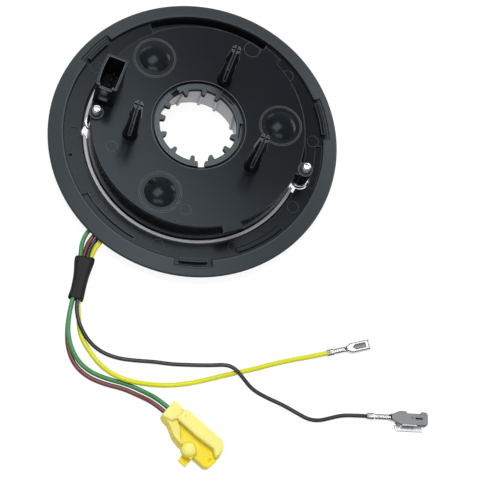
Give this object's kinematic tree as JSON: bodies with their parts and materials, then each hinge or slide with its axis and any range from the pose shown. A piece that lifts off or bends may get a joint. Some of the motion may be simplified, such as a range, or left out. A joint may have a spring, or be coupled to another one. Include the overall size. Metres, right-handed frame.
{
  "type": "steering clock spring",
  "caption": "Round cassette with a sloping rim, a toothed hub collar, split locating pegs, a plug socket, captive screws and coloured leads to a yellow plug and flat sockets.",
  "frame": {"origin": "On the steering axis, at the flat face that looks at the steering wheel, on which the part lies.", "axes": "+Z runs along the steering axis towards the column, out of the plate with the pegs. +X runs roughly from the left screw, beside the socket, to the right one. +Y completes the frame, so the leads come out towards -Y."},
  "size_m": [0.1748, 0.1758, 0.0475],
  "materials": {
    "black_matte": "fine grained black moulding, dull",
    "black_satin": "smooth black moulding, satin",
    "black_gloss": "black acetal moulding with a soft sheen",
    "light_grey": "natural light grey moulding, smooth",
    "felt": "thin pressed felt",
    "ribbon_film": "flat cable film, smooth",
    "rubber_black": "soft black rubber, dull",
    "insulation_green": "smooth wire insulation",
    "insulation_brown": "smooth wire insulation",
    "insulation_black": "smooth wire insulation",
    "insulation_yellow": "smooth wire insulation",
    "plug_yellow": "smooth yellow moulding, slightly milky",
    "brass_contact": "bright stamped contact metal",
    "tinned_steel": "tinned sheet, bright",
    "zinc_steel": "zinc plated, turned"
  },
  "bodies": {
    "rotor": {"base_cover": "black_matte", "rotor_tray": "black_satin", "flange_ring": "black_matte", "hub_cassette": "light_grey", "hub_collar": "black_satin", "glide_ring": "felt", "ribbon_cable": "ribbon_film", "ribbon_inner_block": "light_grey", "wire_grommet": "rubber_black", "wire_green": "insulation_green", "wire_brown": "insulation_brown", "wire_black": "insulation_black", "wire_yellow": "insulation_yellow", "shrink_sleeve": "rubber_black", "plug_housing": "plug_yellow", "plug_lock": "plug_yellow", "plug_contacts": "brass_contact", "terminal_small": "tinned_steel", "terminal_large": "tinned_steel"},
    "stator": {"stator_housing": "black_gloss", "socket_pin_block": "black_matte", "socket_pins": "brass_contact", "ribbon_outer_block": "black_satin", "screw_retainers": "black_matte"},
    "screw_left": {"screw_left": "zinc_steel"},
    "screw_right": {"screw_right": "zinc_steel"}
  },
  "joints": [
    {"name": "steering_turn", "type": "hinge", "parent": "rotor", "child": "stator", "pos_m": [0, 0, 0], "axis": [0, 0, 1], "range_deg": [-900, 900], "deforming": ["ribbon_cable"]},
    {"name": "screw_left_turn", "type": "hinge", "parent": "stator", "child": "screw_left", "pos_m": [-0.0374, -0.0107, 0], "axis": [0, 0, 1], "continuous": true},
    {"name": "screw_right_turn", "type": "hinge", "parent": "stator", "child": "screw_right", "pos_m": [0.0434, -0.0019, 0], "axis": [0, 0, 1], "continuous": true}
  ]
}
